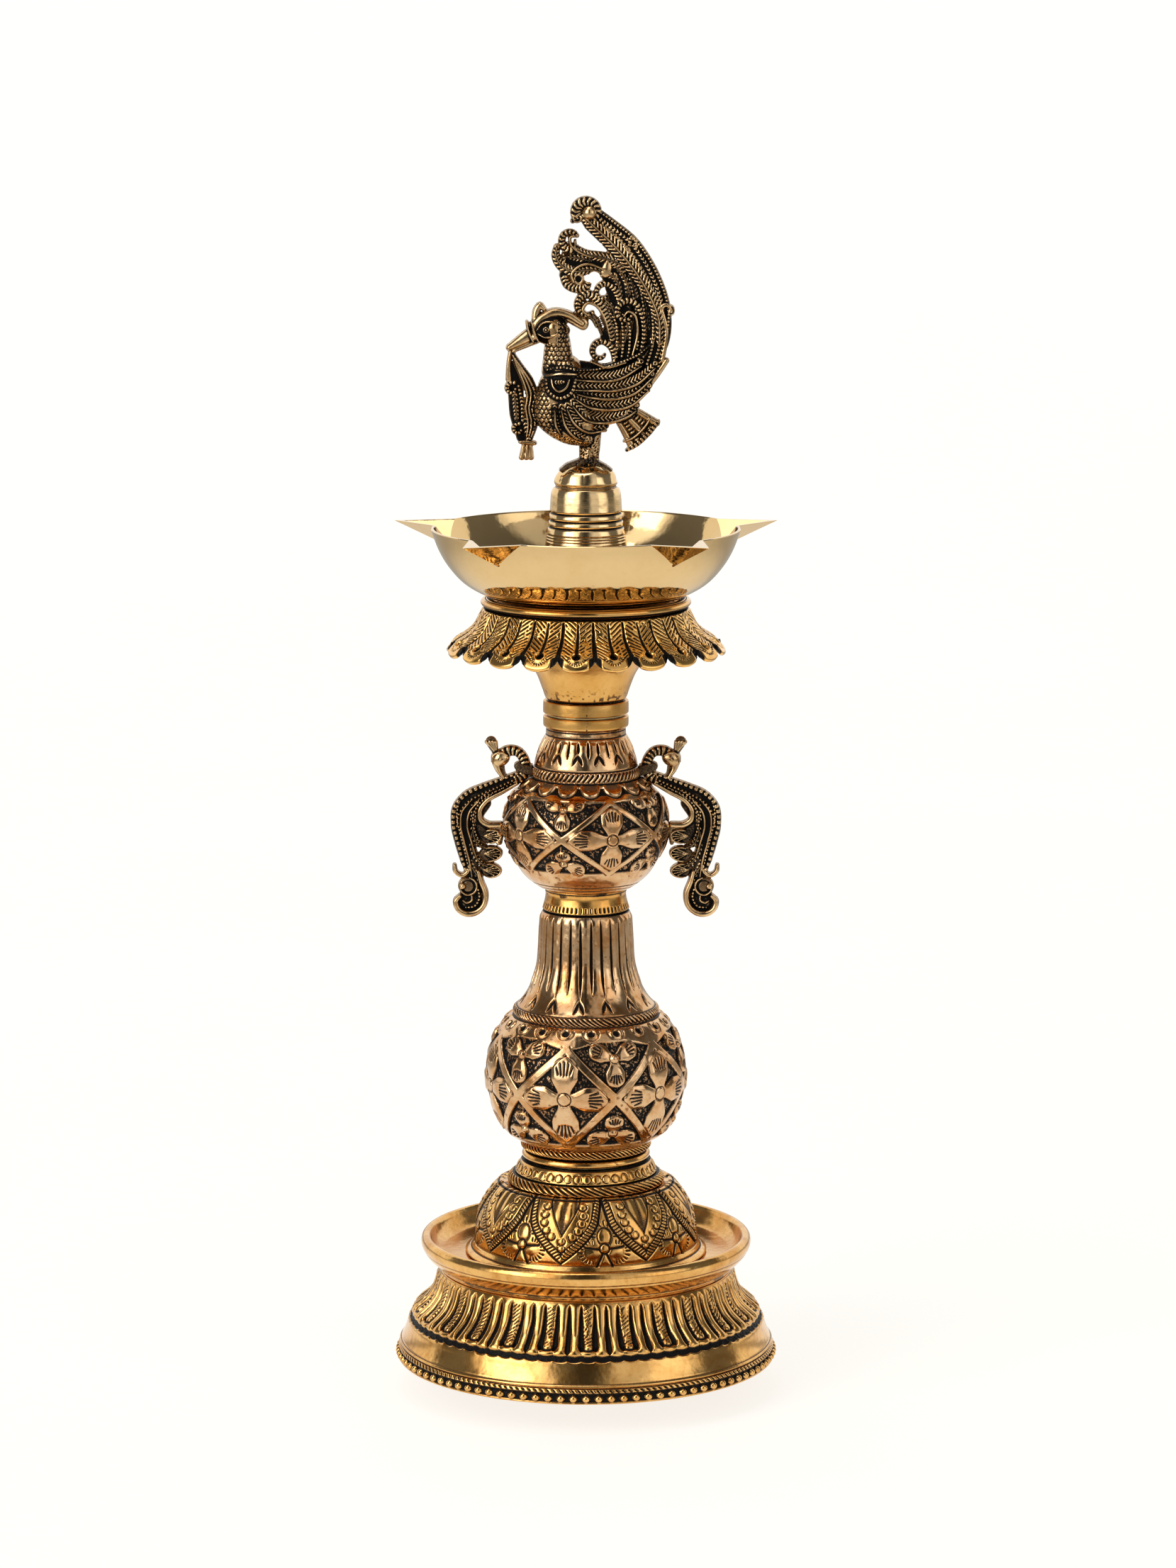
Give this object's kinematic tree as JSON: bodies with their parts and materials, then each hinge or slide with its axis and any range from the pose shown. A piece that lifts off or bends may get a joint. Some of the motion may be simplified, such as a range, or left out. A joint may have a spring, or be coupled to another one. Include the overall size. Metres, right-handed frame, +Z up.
{
  "type": "standing oil lamp",
  "caption": "Tall turned brass oil lamp: beaded foot, drip tray, two carved vases with side handles, feather-skirted spouted bowl and bird finial, screwed together in sections.",
  "frame": {"origin": "centre of the foot's resting plane, on the lamp's turning axis", "axes": "+Z up along the lamp's axis, -Y towards the viewer, +X to the viewer's right; the bird faces -X"},
  "size_m": [0.1666, 0.1706, 0.5079],
  "materials": {
    "polished": "mirror polished pale brass",
    "satin": "satin turned brass",
    "antique": "antique brass, dark in the grooves",
    "dark_antique": "dark antique brass, bright on the high points",
    "rose": "rose-tinted bronze brass over a dark stippled ground",
    "bright": "bright yellow turned brass",
    "plain": "plain machined brass"
  },
  "bodies": {
    "base": {"bead_ring": "antique", "base_flare": "antique", "drip_tray": "antique", "base_dome": "antique", "base_rope_ring": "antique", "base_pearl_ring": "antique", "base_rod": "plain", "base_washer": "plain", "base_nut": "plain", "base_locknut": "plain"},
    "stem_seat": {"stem_washer": "plain"},
    "stem": {"stem_plain_ring": "antique", "stem_rope_ring": "antique", "lower_vase": "rose", "mid_collar": "bright", "vase_nipple": "plain", "upper_vase": "rose", "lower_coupling_ring": "satin", "handle_left": "dark_antique", "handle_right": "dark_antique"},
    "head_seat": {"coupling_washer": "plain"},
    "head": {"upper_coupling_ring": "satin", "neck_cone": "satin", "neck_locknut": "plain", "head_rod": "plain", "feather_skirt": "antique", "skirt_top_ring": "antique", "oil_bowl": "polished", "bowl_nut": "plain"},
    "finial_seat": {"finial_washer": "plain"},
    "finial": {"finial_thimble": "polished", "finial_bird": "dark_antique"}
  },
  "joints": [
    {"name": "stem_lift", "type": "slide", "parent": "base", "child": "stem_seat", "axis": [0, 0, 1], "range_m": [0, 0.01201]},
    {"name": "stem_turn", "type": "hinge", "parent": "stem_seat", "child": "stem", "pos_m": [0, 0, 0.0891], "axis": [0, 0, 1], "range_deg": [0, 2160]},
    {"name": "head_lift", "type": "slide", "parent": "stem", "child": "head_seat", "axis": [0, 0, 1], "range_m": [0, 0.01201]},
    {"name": "head_turn", "type": "hinge", "parent": "head_seat", "child": "head", "pos_m": [0, 0, 0.2853], "axis": [0, 0, 1], "range_deg": [0, 2160]},
    {"name": "finial_lift", "type": "slide", "parent": "head", "child": "finial_seat", "axis": [0, 0, 1], "range_m": [0, 0.01001]},
    {"name": "finial_turn", "type": "hinge", "parent": "finial_seat", "child": "finial", "pos_m": [0, 0, 0.338], "axis": [0, 0, 1], "range_deg": [0, 1800]}
  ],
  "couplings": [
    {"joint": "stem_lift", "follows": "stem_turn", "m_per_rad": 0.00031831},
    {"joint": "head_lift", "follows": "head_turn", "m_per_rad": 0.00031831},
    {"joint": "finial_lift", "follows": "finial_turn", "m_per_rad": 0.00031831}
  ]
}
